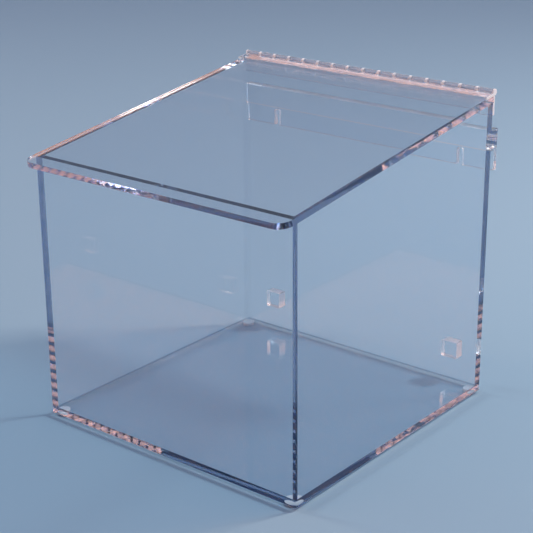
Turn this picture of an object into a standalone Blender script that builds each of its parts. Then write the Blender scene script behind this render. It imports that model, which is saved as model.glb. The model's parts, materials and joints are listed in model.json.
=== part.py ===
"""Clear acrylic dispenser box with a sloping hinged lid and a wall hanger.

A base sheet carries four upright walls. A sheet lid with two rounded front
corners lies on their sloping top edges and swings on a continuous hinge along
the back. Behind the back wall a spacer strip and a notched hook strip make a
channel that drops over the heads of two wall screws, and two pads lower down
hold the box upright. Four round bumpers stand it on a table.

Metres, +Z up, front towards -Y. The origin is on the table, under the middle of
the whole object.
"""

import math

import bmesh
import bpy
from mathutils import Vector

MM = 0.001
INCH = 0.0254

# Film of cement, or bare seat, between two pieces that meet face to face
SEAM = 0.3 * MM

# Box
BOX_WIDTH = 12 * INCH
BOX_DEPTH = 12 * INCH
FRONT_HEIGHT = 259.0 * MM
BACK_HEIGHT = 299.5 * MM
WALL_THICKNESS = 0.22 * INCH
BASE_THICKNESS = 0.22 * INCH

# Lid
LID_THICKNESS = 0.22 * INCH
LID_SIDE_OVERHANG = 0.8 * MM
LID_FRONT_OVERHANG = 17.2 * MM
LID_CORNER_RADIUS = 0.5 * INCH
LID_CORNER_STEPS = 10

# Hinge, as long as the box is wide
KNUCKLE_LENGTH = 0.75 * INCH
KNUCKLE_GAP = 0.3 * MM
BARREL_RADIUS = 0.125 * INCH
PIN_RADIUS = 0.0625 * INCH
PIN_CLEARANCE = 0.07 * MM
LEAF_THICKNESS = 0.125 * INCH
LID_LEAF_REACH = 0.625 * INCH
WALL_LEAF_REACH = 0.875 * INCH
LEAF_RELIEF = 0.5 * MM
ROUND_STEPS = 32

# Hanger behind the back wall, as long as the box is wide
HANGER_DROP = 1.0625 * INCH
SPACER_HEIGHT = 0.8125 * INCH
SPACER_THICKNESS = 0.22 * INCH
HOOK_HEIGHT = 1.625 * INCH
HOOK_THICKNESS = 0.22 * INCH
NOTCH_WIDTH = 0.25 * INCH
NOTCH_HEIGHT = 0.6875 * INCH
NOTCH_INSET = 40.0 * MM
NOTCH_STEPS = 12

# Wall pads
PAD_SIDE = 0.6875 * INCH
PAD_INSET = 39.5 * MM
PAD_HEIGHT = 35.7 * MM

# Feet
FOOT_HEIGHT = 0.125 * INCH
FOOT_RADIUS = 0.25 * INCH
FOOT_INSET = 9.5 * MM
FOOT_SHOULDER = 0.8 * MM
FOOT_SHOULDER_STEPS = 3

# Finishes: a name, a colour and a roughness
SHEET_ACRYLIC = ("clear cast acrylic", (0.97, 0.98, 1.0), 0.02)
HINGE_ACRYLIC = ("clear extruded acrylic", (0.97, 0.97, 0.98), 0.05)
BUMPER_RUBBER = ("clear soft urethane", (0.96, 0.97, 0.98), 0.12)

# Worked out from the sizes above: the closed lid's tilt, how far the lid and the
# hanger reach past the box, and the planes that the pieces are set from
SLOPE = math.atan2(BACK_HEIGHT - FRONT_HEIGHT, BOX_DEPTH)
LID_STACK = LEAF_THICKNESS + LID_THICKNESS
HANGER_STANDOFF = SPACER_THICKNESS + HOOK_THICKNESS
FRONT_REACH = LID_FRONT_OVERHANG * math.cos(SLOPE) + LID_THICKNESS * math.sin(SLOPE)
BACK_REACH = max(HANGER_STANDOFF, LEAF_THICKNESS + BARREL_RADIUS)
FRONT_FACE = FRONT_REACH - (FRONT_REACH + BOX_DEPTH + BACK_REACH) / 2
BACK_FACE = FRONT_FACE + BOX_DEPTH
BASE_TOP = FOOT_HEIGHT + BASE_THICKNESS
KNUCKLE_COUNT = round(BOX_WIDTH / KNUCKLE_LENGTH)


def wall_top(y):
    """Height of the walls' sloping top edge above the table."""
    return FOOT_HEIGHT + FRONT_HEIGHT + (y - FRONT_FACE) * math.tan(SLOPE)


def clear_material(piece_name, finish):
    """One see-through material for one piece."""
    label, colour, roughness = finish
    made = bpy.data.materials.new(f"{piece_name} {label}")
    made.use_nodes = True
    shader = made.node_tree.nodes["Principled BSDF"]
    shader.inputs["Base Color"].default_value = (*colour, 1.0)
    shader.inputs["Metallic"].default_value = 0.0
    shader.inputs["Roughness"].default_value = roughness
    shader.inputs["IOR"].default_value = 1.49
    shader.inputs["Transmission Weight"].default_value = 1.0
    return made


def place(name, bm, location=(0.0, 0.0, 0.0), tilt=0.0):
    """Turn a bmesh into a named object, tilted about X and set at its location."""
    bmesh.ops.recalc_face_normals(bm, faces=bm.faces)
    mesh = bpy.data.meshes.new(name)
    bm.to_mesh(mesh)
    bm.free()
    piece = bpy.data.objects.new(name, mesh)
    piece.location = location
    piece.rotation_euler = (tilt, 0.0, 0.0)
    bpy.context.scene.collection.objects.link(piece)
    return piece


def finish_piece(piece, finish, rounded=False):
    """Give a finished piece its own material, and smooth shading where it is round."""
    piece.data.materials.clear()
    piece.data.materials.append(clear_material(piece.name, finish))
    if rounded:
        piece.data.shade_smooth()
        piece.data.set_sharp_from_angle(angle=math.radians(30))


def block(low, high):
    """A box between two corners."""
    bm = bmesh.new()
    bmesh.ops.create_cube(bm, size=1.0)
    size = Vector(high) - Vector(low)
    centre = (Vector(high) + Vector(low)) / 2
    bmesh.ops.scale(bm, vec=size, verts=bm.verts)
    bmesh.ops.translate(bm, vec=centre, verts=bm.verts)
    return bm


def slab(outline, direction):
    """A flat outline pushed along a direction into a solid."""
    bm = bmesh.new()
    face = bm.faces.new([bm.verts.new(point) for point in outline])
    swept = bmesh.ops.extrude_face_region(bm, geom=[face])
    moved = [part for part in swept["geom"] if isinstance(part, bmesh.types.BMVert)]
    bmesh.ops.translate(bm, vec=direction, verts=moved)
    return bm


def arc(centre, radius, start, end, steps):
    """Points on an arc in a plane, from one angle to another."""
    points = []
    for step in range(steps + 1):
        angle = start + (end - start) * step / steps
        points.append(
            (centre[0] + radius * math.cos(angle), centre[1] + radius * math.sin(angle))
        )
    return points


def rod(radius, start, end):
    """A round bar along X between two places."""
    outline = arc((0.0, 0.0), radius, 0.0, 2 * math.pi, ROUND_STEPS)[:-1]
    return slab([(start, y, z) for y, z in outline], (end - start, 0.0, 0.0))


def cut_or_join(piece, other_bm, operation):
    """Apply one Boolean with a throwaway tool; coplanar faces need the manifold solver."""
    tool = place("tool", other_bm)
    step = piece.modifiers.new("step", "BOOLEAN")
    step.operation = operation
    step.solver = "MANIFOLD"
    step.object = tool
    bpy.context.view_layer.update()
    graph = bpy.context.evaluated_depsgraph_get()
    solid = bpy.data.meshes.new_from_object(piece.evaluated_get(graph))
    piece.modifiers.remove(step)
    plain = piece.data
    piece.data = solid
    bpy.data.meshes.remove(plain)
    solid.name = piece.name
    bpy.data.objects.remove(tool)


def upright_wall(name, front, back, left, right):
    """A wall on the base whose top edge follows the lid's slope."""
    bottom = BASE_TOP + SEAM
    outline = [
        (left, front, bottom),
        (left, back, bottom),
        (left, back, wall_top(back)),
        (left, front, wall_top(front)),
    ]
    wall = place(name, slab(outline, (right - left, 0.0, 0.0)))
    finish_piece(wall, SHEET_ACRYLIC)


def make_box():
    """The base and the four walls; the side walls stand between front and back."""
    half = BOX_WIDTH / 2
    low = (-half, FRONT_FACE, FOOT_HEIGHT)
    high = (half, BACK_FACE, BASE_TOP)
    base = place("base_panel", block(low, high))
    finish_piece(base, SHEET_ACRYLIC)

    inner_front = FRONT_FACE + WALL_THICKNESS
    inner_back = BACK_FACE - WALL_THICKNESS
    upright_wall("front_wall", FRONT_FACE, inner_front, -half, half)
    upright_wall("back_wall", inner_back, BACK_FACE, -half, half)
    side_front = inner_front + SEAM
    side_back = inner_back - SEAM
    inner = half - WALL_THICKNESS
    upright_wall("left_wall", side_front, side_back, -half, -inner)
    upright_wall("right_wall", side_front, side_back, inner, half)


def hinge_axis():
    """Where the outer faces of the two leaves would meet."""
    y = BACK_FACE + LEAF_THICKNESS
    z = wall_top(y) + (SEAM + LID_STACK) / math.cos(SLOPE)
    return Vector((0.0, y, z))


def along_lid(forward):
    """Distance along the lid's underside to a place that far in front of the axis."""
    return (forward + LID_STACK * math.sin(SLOPE)) / math.cos(SLOPE)


def make_lid(pivot):
    """The lid, modelled flat with the hinge axis as its origin and front at -Y."""
    half = BOX_WIDTH / 2 + LID_SIDE_OVERHANG
    # The square-cut rear edge stops level with the back wall's outer face
    rear = along_lid(LEAF_THICKNESS)
    front = along_lid(LEAF_THICKNESS + BOX_DEPTH) + LID_FRONT_OVERHANG
    radius = LID_CORNER_RADIUS
    corner = radius - front
    quarter = math.pi / 2
    left = arc((radius - half, corner), radius, -2 * quarter, -quarter, LID_CORNER_STEPS)
    right = arc((half - radius, corner), radius, -quarter, 0.0, LID_CORNER_STEPS)
    outline = [(half, -rear), (-half, -rear)] + left + right
    sheet = slab([(x, y, -LID_STACK) for x, y in outline], (0.0, 0.0, LID_THICKNESS))
    lid = place("lid", sheet, pivot, SLOPE)
    finish_piece(lid, SHEET_ACRYLIC)


def knuckle_span(index):
    """Start and end along X of one knuckle, counted from the left."""
    pitch = BOX_WIDTH / KNUCKLE_COUNT
    start = index * pitch - BOX_WIDTH / 2
    return start + KNUCKLE_GAP / 2, start + pitch - KNUCKLE_GAP / 2


def hinge_leaf(name, knuckles, reach, seat, pivot, tilt):
    """A leaf with its own knuckles, modelled with the hinge axis as its origin.

    It reaches to -Y with its outer face level with the axis. Seat is 1 where the
    sheet that it is cemented to lies above it, and -1 where it lies below. It is
    cut back clear of the other leaf's knuckles.
    """
    half = (BOX_WIDTH - KNUCKLE_GAP) / 2
    inner_face = seat * (LEAF_THICKNESS - SEAM)
    low, high = sorted((0.0, inner_face))
    edge = -BARREL_RADIUS - LEAF_RELIEF
    leaf = place(name, block((-half, -reach, low), (half, edge, high)))
    for index in knuckles:
        start, end = knuckle_span(index)
        # A web runs from inside the barrel into the leaf
        web = block((start, edge - LEAF_THICKNESS, low), (end, 0.0, high))
        cut_or_join(leaf, web, "UNION")
        cut_or_join(leaf, rod(BARREL_RADIUS, start, end), "UNION")
    bore = rod(PIN_RADIUS + PIN_CLEARANCE, -BOX_WIDTH, BOX_WIDTH)
    cut_or_join(leaf, bore, "DIFFERENCE")
    leaf.location = pivot
    leaf.rotation_euler = (tilt, 0.0, 0.0)
    finish_piece(leaf, HINGE_ACRYLIC, rounded=True)


def make_hinge(pivot):
    """Both leaves and the pin. The first knuckle on the left is the wall leaf's."""
    wall_knuckles = range(0, KNUCKLE_COUNT, 2)
    lid_knuckles = range(1, KNUCKLE_COUNT, 2)
    hinge_leaf("lid_hinge_leaf", lid_knuckles, LID_LEAF_REACH, -1, pivot, SLOPE)
    hinge_leaf("wall_hinge_leaf", wall_knuckles, WALL_LEAF_REACH, 1, pivot, math.pi / 2)
    half = (BOX_WIDTH - KNUCKLE_GAP) / 2
    pin = place("hinge_pin", rod(PIN_RADIUS, -half, half), pivot)
    finish_piece(pin, SHEET_ACRYLIC, rounded=True)


def make_hanger():
    """The spacer strip on the back wall and the notched hook strip behind it."""
    half = BOX_WIDTH / 2
    top = FOOT_HEIGHT + BACK_HEIGHT - HANGER_DROP
    low = (-half, BACK_FACE + SEAM, top - SPACER_HEIGHT)
    high = (half, BACK_FACE + SPACER_THICKNESS, top)
    spacer = place("hanger_spacer_strip", block(low, high))
    finish_piece(spacer, SHEET_ACRYLIC)

    bottom = top - HOOK_HEIGHT
    radius = NOTCH_WIDTH / 2
    crown = bottom + NOTCH_HEIGHT - radius
    outline = [(half, bottom), (half, top), (-half, top), (-half, bottom)]
    for side in (-1, 1):
        centre = side * (BOX_WIDTH / 2 - NOTCH_INSET)
        outline.append((centre - radius, bottom))
        outline += arc((centre, crown), radius, math.pi, 0.0, NOTCH_STEPS)
        outline.append((centre + radius, bottom))
    front = BACK_FACE + SPACER_THICKNESS + SEAM
    profile = [(x, front, z) for x, z in outline]
    hook = place("hanger_hook_strip", slab(profile, (0.0, HOOK_THICKNESS - SEAM, 0.0)))
    finish_piece(hook, SHEET_ACRYLIC)


def make_pads():
    """Two square pads that reach as far back as the hook strip."""
    half = PAD_SIDE / 2
    middle = FOOT_HEIGHT + PAD_HEIGHT
    for name, side in (("left_wall_pad", -1), ("right_wall_pad", 1)):
        centre = side * (BOX_WIDTH / 2 - PAD_INSET)
        low = (centre - half, BACK_FACE + SEAM, middle - half)
        high = (centre + half, BACK_FACE + HANGER_STANDOFF, middle + half)
        pad = place(name, block(low, high))
        finish_piece(pad, SHEET_ACRYLIC)


def foot_bmesh():
    """A low round bumper with a rounded lower edge, standing on z = 0."""
    inner = FOOT_RADIUS - FOOT_SHOULDER
    quarter = math.pi / 2
    profile = [(0.0, 0.0)]
    profile += arc((inner, FOOT_SHOULDER), FOOT_SHOULDER, -quarter, 0.0, FOOT_SHOULDER_STEPS)
    top = FOOT_HEIGHT - SEAM
    profile += [(FOOT_RADIUS, top), (0.0, top)]
    bm = bmesh.new()
    ring = [bm.verts.new((x, 0.0, z)) for x, z in profile]
    edges = [bm.edges.new(pair) for pair in zip(ring, ring[1:])]
    bmesh.ops.spin(
        bm,
        geom=ring + edges,
        cent=(0.0, 0.0, 0.0),
        axis=(0.0, 0.0, 1.0),
        angle=2 * math.pi,
        steps=ROUND_STEPS,
        use_merge=True,
    )
    bmesh.ops.remove_doubles(bm, verts=bm.verts, dist=SEAM / 10)
    return bm


def make_feet():
    """Four bumpers near the corners of the base."""
    reach = BOX_WIDTH / 2 - FOOT_INSET
    rows = (("front", FRONT_FACE + FOOT_INSET), ("back", BACK_FACE - FOOT_INSET))
    for row, y in rows:
        for column, x in (("left", -reach), ("right", reach)):
            foot = place(f"{row}_{column}_foot", foot_bmesh(), (x, y, 0.0))
            finish_piece(foot, BUMPER_RUBBER, rounded=True)


def main():
    for old in list(bpy.data.objects):
        bpy.data.objects.remove(old)
    pivot = hinge_axis()
    make_box()
    make_lid(pivot)
    make_hinge(pivot)
    make_hanger()
    make_pads()
    make_feet()


main()
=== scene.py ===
"""Looks of a clear acrylic dispenser box with a hinged lid and a wall hanger.

Every sheet is its own piece. Where two pieces are cemented their faces meet
exactly, and the patch that they share lets light straight through, as a solvent
joint does, so light runs on from one sheet into the next.
"""

import json
import math

import bmesh
import bpy
from bpy.props import FloatProperty, IntProperty, PointerProperty, StringProperty
from mathutils import Matrix, Vector


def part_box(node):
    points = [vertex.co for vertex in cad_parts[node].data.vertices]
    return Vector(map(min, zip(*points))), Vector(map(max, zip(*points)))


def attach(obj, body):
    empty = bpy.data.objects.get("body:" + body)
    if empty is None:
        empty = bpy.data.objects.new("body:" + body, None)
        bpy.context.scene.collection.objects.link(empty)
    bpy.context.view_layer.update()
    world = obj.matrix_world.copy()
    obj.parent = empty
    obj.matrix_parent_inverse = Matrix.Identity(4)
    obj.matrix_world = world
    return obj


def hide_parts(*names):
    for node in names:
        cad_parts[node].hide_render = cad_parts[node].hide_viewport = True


bl_info = {
    "name": "Clear acrylic dispenser box",
    "version": (1, 0, 0),
    "blender": (4, 5, 0),
    "location": "View3D > Sidebar > Dispenser",
    "description": "Dresses a clear acrylic dispenser box and lights it",
    "category": "Object",
}

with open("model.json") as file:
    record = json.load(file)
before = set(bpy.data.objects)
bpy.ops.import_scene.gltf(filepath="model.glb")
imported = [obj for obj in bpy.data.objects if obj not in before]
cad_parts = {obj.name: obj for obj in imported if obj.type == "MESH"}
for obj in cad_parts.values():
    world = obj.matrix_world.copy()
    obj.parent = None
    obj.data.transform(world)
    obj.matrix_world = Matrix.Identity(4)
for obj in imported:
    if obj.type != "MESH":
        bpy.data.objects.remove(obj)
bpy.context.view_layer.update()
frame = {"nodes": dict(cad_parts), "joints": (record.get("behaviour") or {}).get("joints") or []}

MM = 0.001
INCH = 25.4 * MM
ACRYLIC_IOR = 1.49
URETHANE_IOR = 1.49
# Share of the light that stays clear over a metre inside the sheet
KEPT_PER_METRE = 0.05
UP = Vector((0.0, 0.0, 1.0))
AXES = (Vector((1.0, 0.0, 0.0)), Vector((0.0, 1.0, 0.0)), UP)
# Two faces closer than this lie in one plane
FLUSH = 0.001 * MM
# A corner this close to a cutting plane is on it
ON_CUT = FLUSH / 10
# Corners closer than this are one corner
TOUCHING = 0.01 * MM
# A face looks along an axis if its normal has this much of it, and across it below ACROSS
SQUARE_ON = 0.99
ACROSS = 0.5
# Share by which a facet may miss the round that it follows
ROUND_SLACK = 0.01
# Flatter bends than these are one face, are shaded as round, and get no arris
FLAT_BELOW = math.radians(0.5)
ROUND_BELOW = math.radians(25)
NO_ARRIS_BELOW = math.radians(40)
# A bumper's disc is cut from a square patch this much larger
DISC_MARGIN = 1.3

# Material slots that every acrylic piece has, in this order
# The last slot is the joint under each wall. It is tinted grey, partly as the thin line a solvent
# joint shows and partly as painted shade for the contact shadow along the base's edges
POLISHED, CUT, SAWN, CEMENTED, SHADED_SEAM = range(5)


# Sizes read from the frame


class BoxSizes:
    """Planes and thicknesses of the real pieces, worked out from the frame's nodes."""

    def __init__(self):
        base_low, base_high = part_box("base_panel")
        front_low, front_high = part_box("front_wall")
        back_low, back_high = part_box("back_wall")
        self.half_width = base_high.x
        self.front = base_low.y
        self.back = base_high.y
        self.base_bottom = base_low.z
        self.base_top = base_high.z
        self.sheet = base_high.z - base_low.z
        self.inner_x = base_high.x - self.sheet
        self.inner_front = front_high.y
        self.inner_back = back_low.y
        rise = back_high.z - front_high.z
        self.slope = math.atan2(rise, self.back - self.inner_front)
        self.back_top = back_high.z
        self.pivot = Vector(frame["joints"][0]["pos_m"])

    def wall_top(self, y):
        """Height of the walls' sloping top edge."""
        return self.back_top + (y - self.back) * math.tan(self.slope)


SIZES = BoxSizes()


# Settings that a user would change


class SheetSettings(bpy.types.PropertyGroup):
    """The cast sheet of the box, lid, hanger and pads"""

    arris: FloatProperty(
        name="Arris",
        description="Width of the eased corner along each free edge",
        default=0.35 * MM,
        unit="LENGTH",
    )
    tint: StringProperty(
        name="Tint",
        description="Colour that light keeps on its way through a sheet",
        default="#FAFCFE",
    )
    deep_tint: StringProperty(
        name="Deep tint",
        description="Colour that is left of light that stays inside for long",
        default="#0062AA",
    )
    corner_steps: IntProperty(
        name="Corner steps",
        description="Steps round each front corner of the lid",
        default=24,
    )


class HingeSettings(bpy.types.PropertyGroup):
    """The continuous hinge and its pin"""

    knuckle_length: FloatProperty(
        name="Knuckle length",
        description="Length of one knuckle with its gap",
        default=0.75 * INCH,
        unit="LENGTH",
    )
    knuckle_gap: FloatProperty(
        name="Knuckle gap",
        description="Gap between neighbouring knuckles",
        default=0.3 * MM,
        unit="LENGTH",
    )
    bore_clearance: FloatProperty(
        name="Bore clearance",
        description="Radial gap between the pin and the knuckles",
        default=0.07 * MM,
        unit="LENGTH",
    )
    relief: FloatProperty(
        name="Relief",
        description="Gap between a leaf's plate and the other leaf's knuckles",
        default=0.5 * MM,
        unit="LENGTH",
    )
    frost: FloatProperty(
        name="Frost",
        description="Width of the frosted rim that the saw leaves at each knuckle's ends",
        default=1.4 * MM,
        unit="LENGTH",
    )
    barrel_steps: IntProperty(
        name="Barrel steps",
        description="Steps round each knuckle",
        default=48,
    )
    tint: StringProperty(
        name="Tint",
        description="Colour that light keeps on its way through the hinge",
        default="#FBF8F9",
    )
    deep_tint: StringProperty(
        name="Deep tint",
        description="Colour that is left of light that stays inside for long",
        default="#0062AA",
    )


class HangerSettings(bpy.types.PropertyGroup):
    """The notches of the hook strip"""

    notch_width: FloatProperty(
        name="Notch width",
        description="Width of each notch in the hook strip",
        default=0.25 * INCH,
        unit="LENGTH",
    )
    notch_height: FloatProperty(
        name="Notch height",
        description="Height of each notch to the top of its round end",
        default=0.6875 * INCH,
        unit="LENGTH",
    )
    notch_inset: FloatProperty(
        name="Notch inset",
        description="Distance from a notch's middle to the nearer end",
        default=40.0 * MM,
        unit="LENGTH",
    )
    notch_steps: IntProperty(
        name="Notch steps",
        description="Steps round each notch's end",
        default=24,
    )


class FootSettings(bpy.types.PropertyGroup):
    """The soft bumpers under the base"""

    adhesive: FloatProperty(
        name="Adhesive",
        description="Thickness of the clear adhesive that holds each bumper",
        default=0.05 * MM,
        unit="LENGTH",
    )
    shoulder: FloatProperty(
        name="Shoulder",
        description="Radius of the rounded lower edge",
        default=0.8 * MM,
        unit="LENGTH",
    )
    steps: IntProperty(
        name="Steps",
        description="Steps round each bumper",
        default=48,
    )
    tint: StringProperty(
        name="Tint",
        description="Colour that light keeps on its way through a bumper",
        default="#F4F6F8",
    )


class StageSettings(bpy.types.PropertyGroup):
    """The camera and the floor"""

    azimuth: FloatProperty(
        name="Azimuth",
        description="Camera's bearing, 0 from the front and 90 from the right",
        default=math.radians(39.1086),
        subtype="ANGLE",
    )
    elevation: FloatProperty(
        name="Elevation",
        description="Camera's height above the horizon",
        default=math.radians(20.2924),
        subtype="ANGLE",
    )
    roll: FloatProperty(
        name="Roll",
        description="Camera's turn about its line of sight",
        default=math.radians(-0.4235),
        subtype="ANGLE",
    )
    distance: FloatProperty(
        name="Distance",
        description="Distance from the camera to the point that it looks at",
        default=1375.32 * MM,
        unit="LENGTH",
    )
    lens: FloatProperty(
        name="Lens",
        description="Focal length in millimetres on a 36 mm wide sensor",
        default=95.59,
    )
    floor_colour: StringProperty(
        name="Floor colour",
        description="Colour of the pale floor",
        default="#95B0C1",
    )


# Colour and node helpers


def linear(colour):
    """A hex sRGB colour as linear red, green, blue and alpha."""
    values = []
    for start in (1, 3, 5):
        share = int(colour[start : start + 2], 16) / 255
        values.append(share / 12.92 if share <= 0.04045 else ((share + 0.055) / 1.055) ** 2.4)
    return (*values, 1.0)


def add_node(tree, kind, settings=None, links=None):
    """Add one node. Settings name its properties or sockets, links feed its sockets."""
    node = tree.nodes.new(kind)
    for name, value in (settings or {}).items():
        if isinstance(name, int) or name in node.inputs:
            node.inputs[name].default_value = value
        else:
            setattr(node, name, value)
    for name, source in (links or {}).items():
        tree.links.new(source, node.inputs[name])
    return node


def new_material(name):
    """An empty node material and its output node."""
    made = bpy.data.materials.new(name)
    made.use_nodes = True
    made.node_tree.nodes.clear()
    output = made.node_tree.nodes.new("ShaderNodeOutputMaterial")
    return made, made.node_tree, output


def find_material(name, maker, *values):
    """A material that pieces share, made when the first one needs it."""
    return bpy.data.materials.get(name) or maker(name, *values)


# Materials


# Size, detail, height and strength of the bumps
SAW_MARKS = (0.5 * MM, 3.0, 0.05 * MM, 0.6)
MOULD_GRAIN = (0.8 * MM, 3.0, 0.03 * MM, 0.4)
# Share of urethane that is clear, and its roughness
URETHANE_FINISH = (0.12, 0.18)
CARD_ROUGHNESS = 0.9


def bumpy_normal(tree, size, detail, height, strength=1.0):
    """Normals of a surface with uneven bumps."""
    place = add_node(tree, "ShaderNodeTexCoord").outputs["Object"]
    noise = add_node(
        tree, "ShaderNodeTexNoise", {"Scale": 1 / size, "Detail": detail}, {"Vector": place}
    )
    bump = add_node(
        tree,
        "ShaderNodeBump",
        {"Strength": strength, "Distance": height},
        {"Height": noise.outputs["Fac"]},
    )
    return bump.outputs["Normal"]


def plastic(tree, tint, clarity, haze, ior, normal):
    """A plastic that lets a share of the light through."""
    settings = {
        "Base Color": linear(tint),
        "Transmission Weight": clarity,
        "Roughness": haze,
        "IOR": ior,
    }
    return add_node(tree, "ShaderNodeBsdfPrincipled", settings, {"Normal": normal})


def clear_acrylic(name, tint, deep_tint, clarity, haze, wave_length, wave_height, shade):
    """Clear acrylic. Light that runs along inside a sheet for long turns deep blue grey,
    because each stretch between two faces gives part of it to the deeply tinted glass.
    Its shadow is as pale as the shade: a flat face casts hardly any, a cut edge a dark one."""
    made, tree, output = new_material(name)
    normal = bumpy_normal(tree, wave_length, 1.0, wave_height)
    clear = plastic(tree, tint, clarity, haze, ACRYLIC_IOR, normal)
    deep = add_node(
        tree,
        "ShaderNodeBsdfGlass",
        {"Color": linear(deep_tint), "Roughness": haze, "IOR": ACRYLIC_IOR},
        {"Normal": normal},
    )
    light = add_node(tree, "ShaderNodeLightPath").outputs
    way = light["Ray Length"]
    inside = add_node(tree, "ShaderNodeNewGeometry").outputs["Backfacing"]
    kept = add_node(tree, "ShaderNodeMath", {"operation": "POWER", 0: KEPT_PER_METRE}, {1: way})
    lost = add_node(tree, "ShaderNodeMath", {"operation": "SUBTRACT", 0: 1.0}, {1: kept.outputs[0]})
    share = add_node(
        tree, "ShaderNodeMath", {"operation": "MULTIPLY"}, {0: lost.outputs[0], 1: inside}
    )
    mixed = add_node(
        tree,
        "ShaderNodeMixShader",
        links={0: share.outputs[0], 1: clear.outputs["BSDF"], 2: deep.outputs["BSDF"]},
    )
    straight = add_node(
        tree,
        "ShaderNodeMath",
        {"operation": "MAXIMUM"},
        {0: light["Is Shadow Ray"], 1: light["Is Diffuse Ray"]},
    )
    pale = add_node(tree, "ShaderNodeBsdfTransparent", {"Color": linear(shade)})
    surface = add_node(
        tree,
        "ShaderNodeMixShader",
        links={0: straight.outputs[0], 1: mixed.outputs["Shader"], 2: pale.outputs["BSDF"]},
    )
    tree.links.new(surface.outputs["Shader"], output.inputs["Surface"])
    return made


def sawn_acrylic(name, tint, clarity, haze):
    """Sawn acrylic, left matt: fine saw marks scatter light, so it is a frosty white."""
    made, tree, output = new_material(name)
    normal = bumpy_normal(tree, *SAW_MARKS)
    shader = plastic(tree, tint, clarity, haze, ACRYLIC_IOR, normal)
    tree.links.new(shader.outputs["BSDF"], output.inputs["Surface"])
    return made


def solvent_joint(name, tint):
    """Solvent-cemented acrylic: the sheets are one solid there, so light runs on through."""
    made, tree, output = new_material(name)
    shader = add_node(tree, "ShaderNodeBsdfTransparent", {"Color": linear(tint)})
    tree.links.new(shader.outputs["BSDF"], output.inputs["Surface"])
    return made


def soft_urethane(name, tint):
    """Moulded clear urethane: a little milky and satin, so a bumper shows as a soft disc."""
    made, tree, output = new_material(name)
    normal = bumpy_normal(tree, *MOULD_GRAIN)
    shader = plastic(tree, tint, *URETHANE_FINISH, URETHANE_IOR, normal)
    tree.links.new(shader.outputs["BSDF"], output.inputs["Surface"])
    return made


def matte_card(name, colour):
    """Plain matte card for the floor."""
    made, tree, output = new_material(name)
    settings = {"Base Color": linear(colour), "Roughness": CARD_ROUGHNESS}
    shader = add_node(tree, "ShaderNodeBsdfPrincipled", settings)
    tree.links.new(shader.outputs["BSDF"], output.inputs["Surface"])
    return made


# Mesh helpers


def block(low, high):
    """A box between two corners."""
    bm = bmesh.new()
    bmesh.ops.create_cube(bm, size=1.0)
    bmesh.ops.scale(bm, vec=Vector(high) - Vector(low), verts=bm.verts)
    bmesh.ops.translate(bm, vec=(Vector(high) + Vector(low)) / 2, verts=bm.verts)
    return bm


def slab(outline, direction):
    """A flat outline pushed along a direction into a solid."""
    bm = bmesh.new()
    face = bm.faces.new([bm.verts.new(point) for point in outline])
    swept = bmesh.ops.extrude_face_region(bm, geom=[face])
    moved = [part for part in swept["geom"] if isinstance(part, bmesh.types.BMVert)]
    bmesh.ops.translate(bm, vec=direction, verts=moved)
    bmesh.ops.recalc_face_normals(bm, faces=bm.faces)
    return bm


def arc(centre, radius, start, end, steps):
    """Points on an arc in a plane, from one angle to another."""
    points = []
    for step in range(steps + 1):
        angle = start + (end - start) * step / steps
        points.append(
            (centre[0] + radius * math.cos(angle), centre[1] + radius * math.sin(angle))
        )
    return points


def circle(centre, radius, steps):
    """Points round a full circle in a plane."""
    return arc(centre, radius, 0.0, 2 * math.pi, steps)[:-1]


def rod(start, length, radius, steps):
    """A round bar along x, with its axis through the origin."""
    outline = [(start, y, z) for y, z in circle((0.0, 0.0), radius, steps)]
    return slab(outline, (length, 0.0, 0.0))


def with_borders(faces):
    """The faces with their edges and corners, each once."""
    parts = (part for face in faces for part in (face, *face.edges, *face.verts))
    return list(dict.fromkeys(parts))


def faces_in_plane(bm, normal, point):
    """Faces that lie in the plane through a point and look along its normal."""
    found = []
    for face in bm.faces:
        offset = (face.calc_center_median() - point).dot(normal)
        if face.normal.dot(normal) > SQUARE_ON and abs(offset) < FLUSH:
            found.append(face)
    return found


def cut_square(bm, normal, low, high):
    """Cut the faces in one plane along the sides of a rectangle, and return those inside."""
    low, high = Vector(low), Vector(high)
    for i, axis in enumerate(AXES):
        if abs(axis.dot(normal)) > ACROSS:
            continue
        for corner in (low, high):
            flat = with_borders(faces_in_plane(bm, normal, low))
            known = set(flat)
            cut = bmesh.ops.bisect_plane(
                bm, geom=flat, dist=ON_CUT, plane_co=corner, plane_no=axis
            )
            # A new corner can be a last digit off, not always to the same side
            for part in cut["geom_cut"]:
                if isinstance(part, bmesh.types.BMVert) and part not in known:
                    part.co[i] = corner[i]
    inside = []
    for face in faces_in_plane(bm, normal, low):
        centre = face.calc_center_median()
        if all(low[i] - FLUSH <= centre[i] <= high[i] + FLUSH for i in range(3)):
            inside.append(face)
    return inside


def cement(bm, normal, low, high, finish=CEMENTED):
    """Mark the patch of a face that a neighbour is cemented to."""
    patch = cut_square(bm, Vector(normal), low, high)
    if not patch:
        raise RuntimeError("a cemented patch lies on no face")
    for face in patch:
        face.material_index = finish


def cement_disc(bm, normal, centre, radius, steps):
    """Mark the round patch of a face that a bumper is stuck to."""
    normal, centre = Vector(normal), Vector(centre)
    reach = Vector((1.0, 1.0, 0.0)) * DISC_MARGIN * radius
    (square,) = cut_square(bm, normal, centre - reach, centre + reach)
    rim = list(square.edges)
    bmesh.ops.delete(bm, geom=[square], context="FACES_ONLY")
    ring = circle((centre.x, centre.y), radius, steps)
    corners = [bm.verts.new((x, y, centre.z)) for x, y in ring]
    edges = [bm.edges.new(pair) for pair in zip(corners, corners[1:] + corners[:1])]
    bmesh.ops.triangle_fill(bm, use_beauty=True, edges=rim + edges, normal=normal)
    disc = bm.faces.get(corners) or bm.faces.new(corners)
    disc.material_index = CEMENTED
    bmesh.ops.recalc_face_normals(bm, faces=bm.faces)


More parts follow.
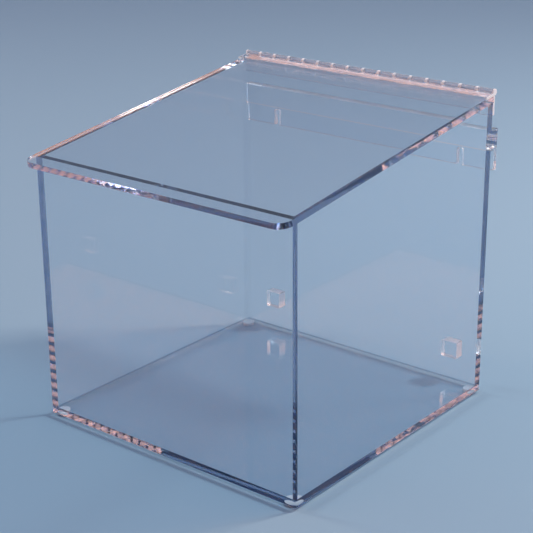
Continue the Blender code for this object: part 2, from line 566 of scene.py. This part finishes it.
def mark_cut_edges(bm, through, finish=CUT):
    """Give the cut edges' finish to every face that runs along the sheet's thickness."""
    for face in bm.faces:
        if face.material_index == POLISHED and abs(face.normal.dot(through)) < ACROSS:
            face.material_index = finish


def mark_sawn(bm):
    """Give the sawn finish to the faces that look left or right."""
    for face in bm.faces:
        if face.material_index == POLISHED and abs(face.normal.x) > SQUARE_ON:
            face.material_index = SAWN


def mark_ends(bm, half):
    """Give the flamed finish to both ends of a strip, at half its length from the middle."""
    for face in bm.faces:
        outermost = abs(face.calc_center_median().x) > half - FLUSH
        if outermost and abs(face.normal.x) > SQUARE_ON:
            face.material_index = CUT


def ease_edges(bm, width):
    """Take the sharpness off every free convex edge."""
    sharp = []
    for edge in bm.edges:
        if len(edge.link_faces) != 2 or not edge.is_convex:
            continue
        if edge.calc_face_angle() < NO_ARRIS_BELOW:
            continue
        if all(face.material_index not in (CEMENTED, SHADED_SEAM) for face in edge.link_faces):
            sharp.append(edge)
    bmesh.ops.bevel(
        bm,
        geom=sharp,
        offset=width,
        segments=2,
        profile=0.5,
        affect="EDGES",
        clamp_overlap=True,
        material=CUT,
    )


# Share that is clear, roughness, length and height of the faint waves, colour of the shadow
POLISHED_FINISH = {
    "cast": (1.0, 0.0, 60 * MM, 0.02 * MM, "#EEF5F9"),
    "extruded": (0.9, 0.0, 60 * MM, 0.02 * MM, "#EEF5F9"),
}
FLAMED_FINISH = (1.0, 0.008, 1.5 * MM, 0.012 * MM, "#1F4468")
# Share that is clear and roughness
SAWN_FINISH = {"cast": (0.8, 0.3), "extruded": (0.1, 0.6)}


def acrylic_slots(kind, tint, deep_tint):
    """The materials of a sheet or hinge piece, in the order of their slots."""
    tints = (tint, deep_tint)
    return [
        find_material(f"{kind} acrylic, polished", clear_acrylic, *tints, *POLISHED_FINISH[kind]),
        find_material(
            f"{kind} acrylic, routed and flamed edge", clear_acrylic, *tints, *FLAMED_FINISH
        ),
        find_material(f"{kind} acrylic, sawn edge", sawn_acrylic, "#FFFFFF", *SAWN_FINISH[kind]),
        find_material("acrylic, solvent-cemented", solvent_joint, "#FFFFFF"),
        # The joint under a wall lets only part of the light through: partly the line of a real
        # solvent joint, partly painted shade standing in for the contact shadow along the base's
        # edges
        find_material("acrylic, cemented under a wall, with painted shade", solvent_joint, "#BCC6CF"),
    ]


def to_mesh(name, bm):
    """Turn a bmesh into a mesh, and free it."""
    mesh = bpy.data.meshes.new(name)
    bm.to_mesh(mesh)
    bm.free()
    return mesh


def add_object(name, data):
    """A new object in the scene."""
    made = bpy.data.objects.new(name, data)
    bpy.context.scene.collection.objects.link(made)
    return made


def add_piece(name, bm, materials, body, node, at=None):
    """Make one piece of the object, standing for its CAD node and riding on its body."""
    mesh = to_mesh(name, bm)
    if at is not None:
        mesh.transform(at)
    for made in materials:
        mesh.materials.append(made)
    piece = add_object(name, mesh)
    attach(piece, body)
    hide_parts(node)
    return piece


def shade_round(piece):
    """Smooth the round stretches and keep the flats flat."""
    piece.data.shade_smooth()
    piece.data.set_sharp_from_angle(angle=ROUND_BELOW)
    weighted = piece.modifiers.new("flats stay flat", "WEIGHTED_NORMAL")
    weighted.keep_sharp = True


def boolean(piece, tool_bm, operation):
    """Apply one Boolean with a throwaway tool."""
    tool = add_object("tool", to_mesh("tool", tool_bm))
    step = piece.modifiers.new("step", "BOOLEAN")
    step.operation = operation
    step.solver = "MANIFOLD"
    step.object = tool
    bpy.context.view_layer.update()
    graph = bpy.context.evaluated_depsgraph_get()
    solid = bpy.data.meshes.new_from_object(piece.evaluated_get(graph))
    piece.modifiers.remove(step)
    piece.data = solid
    bpy.data.objects.remove(tool)


# Pieces


def upright(front, back, left, right):
    """A wall on the base whose top edge follows the lid's slope."""
    bottom = SIZES.base_top
    outline = [
        (left, front, bottom),
        (left, back, bottom),
        (left, back, SIZES.wall_top(back)),
        (left, front, SIZES.wall_top(front)),
    ]
    return slab(outline, (right - left, 0.0, 0.0))


def foot_places():
    """Middle, top and radius of each bumper, by node name."""
    places = {}
    for row in ("front", "back"):
        for column in ("left", "right"):
            node = f"{row}_{column}_foot"
            low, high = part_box(node)
            middle = (low + high) / 2
            places[node] = (Vector((middle.x, middle.y, SIZES.base_bottom)), (high.x - low.x) / 2)
    return places


class DISPENSER_OT_case(bpy.types.Operator):
    """Build the base sheet and the four walls"""

    bl_idname = "dispenser.case"
    bl_label = "Base and walls"

    def execute(self, context):
        sheet = context.scene.dispenser_sheet
        materials = acrylic_slots("cast", sheet.tint, sheet.deep_tint)
        half, inner = SIZES.half_width, SIZES.inner_x
        front, back = SIZES.front, SIZES.back
        inner_front, inner_back = SIZES.inner_front, SIZES.inner_back
        top, peak = SIZES.base_top, SIZES.back_top

        base = block((-half, front, SIZES.base_bottom), (half, back, top))
        cement(base, UP, (-half, front, top), (half, inner_front, top))
        cement(base, UP, (-half, inner_back, top), (half, back, top))
        for low, high in ((-half, -inner), (inner, half)):
            cement(base, UP, (low, inner_front, top), (high, inner_back, top))
        for middle, radius in foot_places().values():
            cement_disc(base, -UP, middle, radius, context.scene.dispenser_foot.steps)
        self.finish(base, UP, "base_sheet", "base_panel", sheet, materials)

        for name, low, high, inside in (
            ("front_wall", front, inner_front, 1),
            ("back_wall", inner_back, back, -1),
        ):
            wall = upright(low, high, -half, half)
            # The wall's foot gets the grey joint, which is partly painted shade
            cement(wall, -UP, (-half, low, top), (half, high, top), SHADED_SEAM)
            face = high if inside > 0 else low
            for left, right in ((-half, -inner), (inner, half)):
                cement(wall, (0, inside, 0), (left, face, top), (right, face, peak))
            if inside < 0:
                self.cement_hardware(wall)
            self.finish(wall, AXES[1], name + "_sheet", name, sheet, materials)

        for name, left, right in (("left_wall", -half, -inner), ("right_wall", inner, half)):
            wall = upright(inner_front, inner_back, left, right)
            # The wall's foot gets the grey joint, which is partly painted shade
            cement(wall, -UP, (left, inner_front, top), (right, inner_back, top), SHADED_SEAM)
            for y, side in ((inner_front, -1), (inner_back, 1)):
                cement(wall, (0, side, 0), (left, y, top), (right, y, peak))
            self.finish(wall, AXES[0], name + "_sheet", name, sheet, materials)
        return {"FINISHED"}

    def cement_hardware(self, wall):
        """Mark where the spacer, the pads and the hinge leaf sit on the back wall."""
        back = SIZES.back
        for node in ("hanger_spacer_strip", "left_wall_pad", "right_wall_pad"):
            low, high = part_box(node)
            cement(wall, (0, 1, 0), (low.x, back, low.z), (high.x, back, high.z))
        leaf_low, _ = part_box("wall_hinge_leaf")
        half = SIZES.half_width
        cement(wall, (0, 1, 0), (-half, back, leaf_low.z), (half, back, SIZES.back_top))

    def finish(self, bm, through, name, node, sheet, materials):
        """Flame and ease the edges of a sheet that is this way through, and add it."""
        mark_cut_edges(bm, through)
        ease_edges(bm, sheet.arris)
        add_piece(name, bm, materials, "case", node)


class DISPENSER_OT_lid(bpy.types.Operator):
    """Build the lid sheet with its two rounded front corners"""

    bl_idname = "dispenser.lid"
    bl_label = "Lid"

    def execute(self, context):
        sheet = context.scene.dispenser_sheet
        low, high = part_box("lid")
        leaf = leaf_thickness()
        half = high.x
        slope = SIZES.slope
        pivot = SIZES.pivot
        front = (pivot.y - low.y + leaf * math.sin(slope)) / math.cos(slope)
        rear = (pivot.y - high.y + (leaf + SIZES.sheet) * math.sin(slope)) / math.cos(slope)
        radius = lid_corner_radius(half, low)
        corner = radius - front
        quarter = math.pi / 2
        steps = sheet.corner_steps
        left = arc((radius - half, corner), radius, -2 * quarter, -quarter, steps)
        right = arc((half - radius, corner), radius, -quarter, 0.0, steps)
        outline = [(half, -rear), (-half, -rear)] + left + right
        bottom = -leaf - SIZES.sheet
        lid = slab([(x, y, bottom) for x, y in outline], (0.0, 0.0, SIZES.sheet))
        reach = leaf_reach()
        width = SIZES.half_width
        cement(lid, UP, (-width, -reach, -leaf), (width, -rear, -leaf))
        mark_cut_edges(lid, UP)
        ease_edges(lid, sheet.arris)
        materials = acrylic_slots("cast", sheet.tint, sheet.deep_tint)
        piece = add_piece(
            "lid_sheet", lid, materials, "lid", "lid", lid_place()
        )
        shade_round(piece)
        return {"FINISHED"}


def leaf_thickness():
    """The hinge axis lies level with the outer face of both leaves."""
    return SIZES.pivot.y - SIZES.back


def leaf_reach():
    """How far the lid's leaf reaches from the hinge axis, along the lid."""
    low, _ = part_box("lid_hinge_leaf")
    return (SIZES.pivot.y - low.y) / math.cos(SIZES.slope)


def lid_place():
    """The closed lid's tilt about the hinge axis."""
    return Matrix.Translation(SIZES.pivot) @ Matrix.Rotation(SIZES.slope, 4, "X")


def lid_corner_radius(half, low):
    """Radius of the lid's front corners, read from where its straight front edge ends."""
    points = [v.co for v in frame["nodes"]["lid"].data.vertices]
    straight = [abs(p.x) for p in points if p.y < low.y + TOUCHING]
    return half - max(straight)


class DISPENSER_OT_hinge(bpy.types.Operator):
    """Build both hinge leaves with their knuckles, and the pin through them"""

    bl_idname = "dispenser.hinge"
    bl_label = "Hinge"

    def execute(self, context):
        hinge = context.scene.dispenser_hinge
        materials = acrylic_slots("extruded", hinge.tint, hinge.deep_tint)
        thick = leaf_thickness()
        half = SIZES.half_width - hinge.knuckle_gap / 2
        count = round(2 * SIZES.half_width / hinge.knuckle_length)
        wall_low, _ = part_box("wall_hinge_leaf")
        wall_reach = SIZES.pivot.z - wall_low.z
        turn_down = Matrix.Translation(SIZES.pivot) @ Matrix.Rotation(math.pi / 2, 4, "X")
        leaves = (
            ("lid_leaf", "lid_hinge_leaf", "lid", 1, leaf_reach(), -1, lid_place()),
            ("wall_leaf", "wall_hinge_leaf", "case", 0, wall_reach, 1, turn_down),
        )
        for name, node, body, first, reach, seat, at in leaves:
            seat_z = seat * thick
            leaf = self.leaf(hinge, half, count, first, reach, seat_z)
            bm = bmesh.new()
            bm.from_mesh(leaf.data)
            bpy.data.objects.remove(leaf)
            bmesh.ops.dissolve_limit(bm, angle_limit=FLAT_BELOW, verts=bm.verts, edges=bm.edges)
            far = SIZES.half_width
            seat_end = -self.seat_end(seat, thick)
            cement(bm, seat * UP, (-far, -reach, seat_z), (far, seat_end, seat_z))
            mark_sawn(bm)
            for face in faces_in_plane(bm, -AXES[1], Vector((0.0, -reach, 0.0))):
                face.material_index = CUT
            for index in range(first, count, 2):
                start, length = self.knuckle(hinge, index)
                self.frost(bm, thick, start, start + hinge.frost)
                self.frost(bm, thick, start + length - hinge.frost, start + length)
            piece = add_piece(name, bm, materials, body, node, at)
            shade_round(piece)

        low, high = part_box("hinge_pin")
        radius = (high.z - low.z) / 2
        pin = rod(-half, 2 * half, radius, hinge.barrel_steps)
        mark_sawn(pin)
        at = Matrix.Translation(SIZES.pivot)
        piece = add_piece("pin_rod", pin, materials, "case", "hinge_pin", at)
        shade_round(piece)
        return {"FINISHED"}

    def knuckle(self, hinge, index):
        """Where a knuckle starts and how long it is."""
        start = index * hinge.knuckle_length - SIZES.half_width + hinge.knuckle_gap / 2
        return start, hinge.knuckle_length - hinge.knuckle_gap

    def frost(self, bm, thick, low, high):
        """Give the sawn finish to the outside of a knuckle between two planes."""
        for x in (low, high):
            geometry = with_borders(self.barrel_faces(bm, thick, low, high))
            bmesh.ops.bisect_plane(
                bm, geom=geometry, dist=ON_CUT, plane_co=(x, 0.0, 0.0), plane_no=AXES[0]
            )
        for face in self.barrel_faces(bm, thick, low, high):
            if low - FLUSH < face.calc_center_median().x < high + FLUSH:
                face.material_index = SAWN

    def barrel_faces(self, bm, thick, low, high):
        """Polished faces round the outside of the knuckle that spans two planes."""
        found = []
        for face in bm.faces:
            if face.material_index != POLISHED or abs(face.normal.x) > ROUND_SLACK:
                continue
            across = [math.hypot(vert.co.y, vert.co.z) for vert in face.verts]
            along = [vert.co.x for vert in face.verts]
            if max(abs(radius - thick) for radius in across) < ROUND_SLACK * thick:
                if min(along) < high - FLUSH and max(along) > low + FLUSH:
                    found.append(face)
        return found

    def seat_end(self, seat, thick):
        """How far from the axis the cemented part of a leaf's inner face ends."""
        if seat < 0:
            _, lid_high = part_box("lid")
            drop = (thick + SIZES.sheet) * math.sin(SIZES.slope)
            return (SIZES.pivot.y - lid_high.y + drop) / math.cos(SIZES.slope)
        return SIZES.pivot.z - SIZES.back_top

    def leaf(self, hinge, half, count, first, reach, seat):
        """One leaf, modelled flat with the hinge axis as its origin."""
        thick = abs(seat)
        low, high = sorted((0.0, seat))
        edge = -thick - hinge.relief
        plate = block((-half, -reach, low), (half, edge, high))
        leaf = add_object("leaf", to_mesh("leaf", plate))
        steps = hinge.barrel_steps
        for index in range(first, count, 2):
            start, length = self.knuckle(hinge, index)
            web = block((start, edge - thick, low), (start + length, 0.0, high))
            boolean(leaf, web, "UNION")
            boolean(leaf, rod(start, length, thick, steps), "UNION")
        pin_low, pin_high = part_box("hinge_pin")
        bore = (pin_high.z - pin_low.z) / 2 + hinge.bore_clearance
        boolean(leaf, rod(-2 * half, 4 * half, bore, steps), "DIFFERENCE")
        return leaf


class DISPENSER_OT_hanger(bpy.types.Operator):
    """Build the spacer strip and the notched hook strip"""

    bl_idname = "dispenser.hanger"
    bl_label = "Wall hanger"

    def execute(self, context):
        sheet = context.scene.dispenser_sheet
        hanger = context.scene.dispenser_hanger
        materials = acrylic_slots("cast", sheet.tint, sheet.deep_tint)
        low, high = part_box("hanger_spacer_strip")
        hook_low, hook_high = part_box("hanger_hook_strip")
        half, back = SIZES.half_width, SIZES.back
        step = high.y

        spacer = block((-half, back, low.z), (half, step, high.z))
        cement(spacer, (0, -1, 0), (-half, back, low.z), (half, back, high.z))
        cement(spacer, (0, 1, 0), (-half, step, low.z), (half, step, high.z))
        mark_ends(spacer, half)
        mark_cut_edges(spacer, AXES[1], SAWN)
        ease_edges(spacer, sheet.arris)
        add_piece(
            "spacer_strip", spacer, materials, "case", "hanger_spacer_strip"
        )

        radius = hanger.notch_width / 2
        bottom = hook_low.z
        crown = bottom + hanger.notch_height - radius
        outline = [(half, bottom), (half, high.z), (-half, high.z), (-half, bottom)]
        for side in (-1, 1):
            centre = side * (half - hanger.notch_inset)
            outline.append((centre - radius, bottom))
            outline += arc((centre, crown), radius, math.pi, 0.0, hanger.notch_steps)
            outline.append((centre + radius, bottom))
        profile = [(x, step, z) for x, z in outline]
        hook = slab(profile, (0.0, hook_high.y - step, 0.0))
        cement(hook, (0, -1, 0), (-half, step, low.z), (half, step, high.z))
        mark_ends(hook, half)
        mark_cut_edges(hook, AXES[1], SAWN)
        ease_edges(hook, sheet.arris)
        piece = add_piece(
            "hook_strip", hook, materials, "case", "hanger_hook_strip"
        )
        shade_round(piece)
        return {"FINISHED"}


class DISPENSER_OT_pads(bpy.types.Operator):
    """Build the two square pads low on the back wall"""

    bl_idname = "dispenser.pads"
    bl_label = "Wall pads"

    def execute(self, context):
        sheet = context.scene.dispenser_sheet
        materials = acrylic_slots("cast", sheet.tint, sheet.deep_tint)
        back = SIZES.back
        for side in ("left", "right"):
            low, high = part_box(f"{side}_wall_pad")
            pad = block((low.x, back, low.z), high)
            cement(pad, (0, -1, 0), (low.x, back, low.z), (high.x, back, high.z))
            mark_cut_edges(pad, AXES[1], SAWN)
            ease_edges(pad, sheet.arris)
            add_piece(
                f"{side}_pad", pad, materials, "case", f"{side}_wall_pad"
            )
        return {"FINISHED"}


class DISPENSER_OT_feet(bpy.types.Operator):
    """Build the four bumpers"""

    bl_idname = "dispenser.feet"
    bl_label = "Bumper feet"

    def execute(self, context):
        foot = context.scene.dispenser_foot
        rubber = find_material("soft urethane, moulded", soft_urethane, foot.tint)
        for node, (top, radius) in foot_places().items():
            bm = self.bumper(foot, top.z - foot.adhesive, radius)
            at = Matrix.Translation((top.x, top.y, 0.0))
            name = node.replace("foot", "bumper")
            piece = add_piece(name, bm, [rubber], "case", node, at)
            shade_round(piece)
        return {"FINISHED"}

    def bumper(self, foot, height, radius):
        """A low round bumper with a rounded lower edge, standing on z = 0."""
        inner = radius - foot.shoulder
        quarter = math.pi / 2
        shoulder_steps = 6
        profile = [(0.0, 0.0)]
        profile += arc((inner, foot.shoulder), foot.shoulder, -quarter, 0.0, shoulder_steps)
        profile += [(radius, height), (0.0, height)]
        bm = bmesh.new()
        ring = [bm.verts.new((x, 0.0, z)) for x, z in profile]
        edges = [bm.edges.new(pair) for pair in zip(ring, ring[1:])]
        bmesh.ops.spin(
            bm,
            geom=ring + edges,
            cent=(0.0, 0.0, 0.0),
            axis=UP,
            angle=2 * math.pi,
            steps=foot.steps,
            use_merge=True,
        )
        bmesh.ops.remove_doubles(bm, verts=bm.verts, dist=TOUCHING)
        bmesh.ops.recalc_face_normals(bm, faces=bm.faces)
        return bm


# Strength of the ceiling light, the angle that it fills and its colour
CEILING_LIGHT = (0.85, math.radians(60), "#BED6F4")

# Name, bearing and height in degrees, distance, width and height in metres, radiance, colour
SOFTBOXES = (
    ("rear right softbox", 146.0, 46.0, 2.4, 0.36, 0.28, 108.0, "#FFFAF6"),
    ("rear right strip light", 136.1, 30.5, 3.0, 0.25, 0.26, 45.0, "#FFFAF4"),
    ("front left softbox", -76.0, 30.0, 3.0, 0.5, 0.5, 26.0, "#FFF2E6"),
)

# The room's long direction, from its front left end to its rear right end
ROOM_LENGTHWAYS = (0.629, 0.777, 0.0)
# A direction is in an end wall where it has this much of the long direction
END_WALL_FROM, END_WALL_FULL = 0.8, 0.85
# How much brighter than the rest of the room the end walls are
END_WALL_GLOW = 2.6
ROOM_DUSK, ROOM_TAN, BACKDROP = "#3C4F6E", "#DEA48C", "#7A849B"
# Light off a matt face has turned this often, and the backdrop shows below BACKDROP_BELOW
MATT_TURNS = 2.0
BACKDROP_BELOW = 1.5

FLOOR_REACH = 6.0
# The points that the lamps and the camera look at
LAMPS_AIM = Vector((0.0, 0.0, 0.15))
LOOKED_AT = Vector((-1.89, 3.13, 146.65)) * MM
SENSOR_WIDTH = 36.0
# Light is followed through this many faces
BOUNCES = 96
JOINTS_PASSED = 64


def toward(bearing, height):
    """A unit vector that points to a bearing, 0 to the front, and a height above the horizon."""
    return Vector(
        (
            math.sin(bearing) * math.cos(height),
            -math.cos(bearing) * math.cos(height),
            math.sin(height),
        )
    )


class DISPENSER_OT_stage(bpy.types.Operator):
    """Lay the pale floor, hang the lamps and set up the camera"""

    bl_idname = "dispenser.stage"
    bl_label = "Floor, lamps and camera"

    def execute(self, context):
        stage = context.scene.dispenser_stage
        self.floor(stage)
        self.lamps()
        self.world(context.scene)
        self.camera(context.scene, stage)
        scene = context.scene
        scene.view_settings.view_transform = "Standard"
        scene.cycles.max_bounces = BOUNCES
        scene.cycles.transmission_bounces = BOUNCES
        scene.cycles.glossy_bounces = BOUNCES
        scene.cycles.transparent_max_bounces = JOINTS_PASSED
        scene.cycles.blur_glossy = 0.0
        return {"FINISHED"}

    def floor(self, stage):
        """A wide plain floor at the height that the bumpers stand on."""
        size = FLOOR_REACH
        mesh = bpy.data.meshes.new("floor")
        corners = [(-size, -size, 0), (size, -size, 0), (size, size, 0), (-size, size, 0)]
        mesh.from_pydata(corners, [], [(0, 1, 2, 3)])
        mesh.materials.append(matte_card("matte card", stage.floor_colour))
        floor = add_object("floor", mesh)

    def lamps(self):
        """An even ceiling light, and softboxes whose light runs along the sheets."""
        strength, angle, colour = CEILING_LIGHT
        ceiling = bpy.data.lights.new("ceiling light", "SUN")
        ceiling.energy = strength
        ceiling.angle = angle
        ceiling.color = linear(colour)[:3]
        add_object("ceiling light", ceiling)
        for name, bearing, height, distance, wide, high, radiance, colour in SOFTBOXES:
            lamp = bpy.data.lights.new(name, "AREA")
            lamp.shape = "RECTANGLE"
            lamp.size = wide
            lamp.size_y = high
            lamp.energy = radiance * math.pi * wide * high
            lamp.color = linear(colour)[:3]
            hung = add_object(name, lamp)
            away = toward(math.radians(bearing), math.radians(height))
            hung.location = LAMPS_AIM + away * distance
            hung.rotation_euler = away.to_track_quat("Z", "Y").to_euler()

    def world(self, scene):
        """A dusky room with a tan wall at each end, which shows in light guided by the sheets,
        and a plain backdrop for straight views and single mirror reflections."""
        world = bpy.data.worlds.new("room")
        world.use_nodes = True
        tree = world.node_tree
        tree.nodes.clear()
        facing = add_node(tree, "ShaderNodeTexCoord").outputs["Generated"]
        along = add_node(
            tree,
            "ShaderNodeVectorMath",
            {"operation": "DOT_PRODUCT", 1: ROOM_LENGTHWAYS},
            {0: facing},
        )
        end = add_node(
            tree, "ShaderNodeMath", {"operation": "ABSOLUTE"}, {0: along.outputs["Value"]}
        )
        wall = add_node(
            tree,
            "ShaderNodeMapRange",
            {
                "interpolation_type": "SMOOTHSTEP",
                "From Min": END_WALL_FROM,
                "From Max": END_WALL_FULL,
            },
            {"Value": end.outputs[0]},
        )
        colour = add_node(
            tree,
            "ShaderNodeMix",
            {"data_type": "RGBA", 6: linear(ROOM_DUSK), 7: linear(ROOM_TAN)},
            {0: wall.outputs["Result"]},
        )
        bright = add_node(
            tree,
            "ShaderNodeMath",
            {"operation": "MULTIPLY_ADD", 1: END_WALL_GLOW, 2: 1.0},
            {0: wall.outputs["Result"]},
        )
        light = add_node(
            tree,
            "ShaderNodeBackground",
            links={"Color": colour.outputs[2], "Strength": bright.outputs[0]},
        )
        backdrop = add_node(tree, "ShaderNodeBackground", {"Color": linear(BACKDROP)})
        path = add_node(tree, "ShaderNodeLightPath")
        turned = add_node(
            tree,
            "ShaderNodeMath",
            {"operation": "MULTIPLY_ADD", 1: MATT_TURNS},
            {0: path.outputs["Diffuse Depth"], 2: path.outputs["Glossy Depth"]},
        )
        straight = add_node(
            tree,
            "ShaderNodeMath",
            {"operation": "LESS_THAN", 1: BACKDROP_BELOW},
            {0: turned.outputs[0]},
        )
        surface = add_node(
            tree,
            "ShaderNodeMixShader",
            links={
                0: straight.outputs[0],
                1: light.outputs["Background"],
                2: backdrop.outputs["Background"],
            },
        )
        output = add_node(tree, "ShaderNodeOutputWorld")
        tree.links.new(surface.outputs["Shader"], output.inputs["Surface"])
        scene.world = world

    def camera(self, scene, stage):
        """The camera at the photograph's viewing angle."""
        back = toward(stage.azimuth, stage.elevation)
        level = Vector((math.cos(stage.azimuth), math.sin(stage.azimuth), 0.0))
        upward = back.cross(level)
        right = level * math.cos(stage.roll) + upward * math.sin(stage.roll)
        top = upward * math.cos(stage.roll) - level * math.sin(stage.roll)
        data = bpy.data.cameras.new("camera")
        data.lens = stage.lens
        data.sensor_width = SENSOR_WIDTH
        camera = add_object("camera", data)
        turn = Matrix((right, top, back)).transposed().to_4x4()
        camera.matrix_world = Matrix.Translation(LOOKED_AT + back * stage.distance) @ turn
        scene.camera = camera


PIECE_OPERATORS = (
    DISPENSER_OT_case,
    DISPENSER_OT_lid,
    DISPENSER_OT_hinge,
    DISPENSER_OT_hanger,
    DISPENSER_OT_pads,
    DISPENSER_OT_feet,
    DISPENSER_OT_stage,
)


class DISPENSER_PT_panel(bpy.types.Panel):
    """Lists the steps that dress the box"""

    bl_idname = "DISPENSER_PT_panel"
    bl_label = "Dispenser box"
    bl_space_type = "VIEW_3D"
    bl_region_type = "UI"
    bl_category = "Dispenser"

    def draw(self, context):
        for name in SETTINGS:
            settings = getattr(context.scene, name)
            box = self.layout.box()
            for key in settings.__annotations__:
                box.prop(settings, key)
        for operator in PIECE_OPERATORS:
            self.layout.operator(operator.bl_idname)


SETTINGS = {
    "dispenser_sheet": SheetSettings,
    "dispenser_hinge": HingeSettings,
    "dispenser_hanger": HangerSettings,
    "dispenser_foot": FootSettings,
    "dispenser_stage": StageSettings,
}
CLASSES = (*SETTINGS.values(), *PIECE_OPERATORS, DISPENSER_PT_panel)


def register():
    for made in CLASSES:
        bpy.utils.register_class(made)
    for name, made in SETTINGS.items():
        setattr(bpy.types.Scene, name, PointerProperty(type=made))


def unregister():
    for name in SETTINGS:
        delattr(bpy.types.Scene, name)
    for made in reversed(CLASSES):
        bpy.utils.unregister_class(made)


def main():
    register()
    bpy.ops.dispenser.case()
    bpy.ops.dispenser.lid()
    bpy.ops.dispenser.hinge()
    bpy.ops.dispenser.hanger()
    bpy.ops.dispenser.pads()
    bpy.ops.dispenser.feet()
    bpy.ops.dispenser.stage()


if __name__ == "__main__":
    main()
